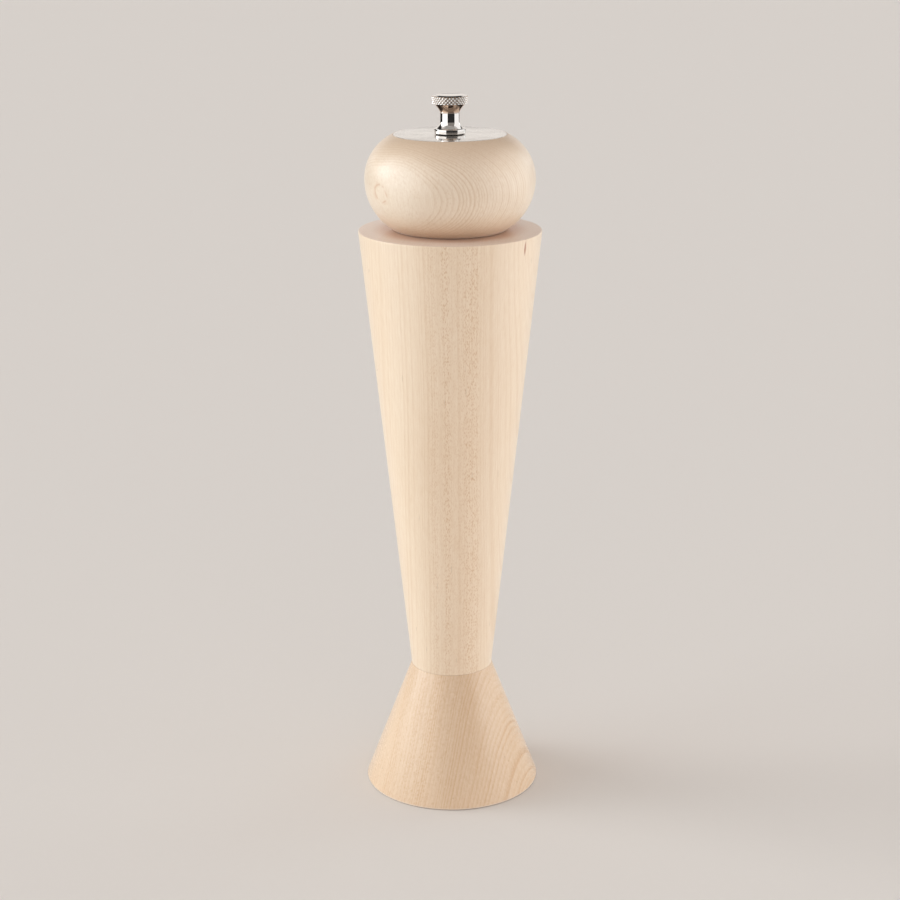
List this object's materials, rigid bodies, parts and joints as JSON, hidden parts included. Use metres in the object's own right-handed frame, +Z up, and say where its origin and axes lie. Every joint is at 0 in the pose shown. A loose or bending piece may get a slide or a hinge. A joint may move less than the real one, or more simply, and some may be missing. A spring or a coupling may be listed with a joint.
{
  "type": "pepper mill",
  "caption": "Tall turned wooden pepper mill with a flared body, cone foot, ball head, knurled nut, square shaft and a steel burr grinder that adjusts from coarse to fine.",
  "frame": {"origin": "centre of the foot's underside, on the surface that the mill stands on", "axes": "+Z up along the axis that the wood, the shaft and the burrs are turned about; the bar under the foot lies along X"},
  "size_m": [0.067, 0.067, 0.2654],
  "materials": {
    "body_wood": "pale maple, straight grain along the body, thin satin oil",
    "head_wood": "pale maple with curved growth rings, thin satin oil",
    "foot_wood": "warmer maple, fine figure, thin satin oil",
    "polished_nickel": "mirror-polished nickel plate",
    "plated_steel": "zinc-plated pressed steel",
    "screw_steel": "zinc-plated screw",
    "spring_steel": "bright drawn spring wire",
    "shaft_aluminium": "drawn bar, fine lengthwise lines",
    "burr_steel": "dark case-hardened, cut teeth",
    "black_fibre": "matt black fibre"
  },
  "bodies": {
    "mill_body": {"base": "foot_wood", "upper_body": "body_wood", "stator": "burr_steel", "yoke": "plated_steel", "bottom_bar": "plated_steel", "stator_screw_1": "screw_steel", "stator_screw_2": "screw_steel", "stator_screw_3": "screw_steel", "bar_screw_1": "screw_steel", "bar_screw_2": "screw_steel"},
    "spring_seat": {"spring_seat": "plated_steel", "spring": "spring_steel"},
    "grinding_shaft": {"shaft": "shaft_aluminium", "rotor": "burr_steel", "rotor_clip": "spring_steel"},
    "head": {"head": "head_wood", "top_plate": "polished_nickel", "driver_plate": "plated_steel", "driver_screw_1": "screw_steel", "driver_screw_2": "screw_steel", "driver_screw_3": "screw_steel"},
    "nut_washer": {"nut_washer": "black_fibre"},
    "finial_nut": {"finial_nut": "polished_nickel"}
  },
  "joints": [
    {"name": "head_turn", "type": "hinge", "parent": "mill_body", "child": "spring_seat", "pos_m": [0, 0, 0.0333], "axis": [0, 0, 1], "continuous": true},
    {"name": "grind_adjust", "type": "slide", "parent": "spring_seat", "child": "grinding_shaft", "axis": [0, 0, 1], "range_m": [0, 0.0016], "deforming": ["spring"]},
    {"name": "head_lift", "type": "slide", "parent": "spring_seat", "child": "head", "axis": [0, 0, 1], "range_m": [0, 0.075]},
    {"name": "nut_lift", "type": "slide", "parent": "head", "child": "nut_washer", "axis": [0, 0, 1], "range_m": [0, 0.015]},
    {"name": "nut_turn", "type": "hinge", "parent": "nut_washer", "child": "finial_nut", "pos_m": [0, 0, 0.2523], "axis": [0, 0, 1], "range_deg": [-720, 0]}
  ],
  "couplings": [
    {"joint": "nut_turn", "follows": "grind_adjust", "rad_per_m": -7854}
  ]
}
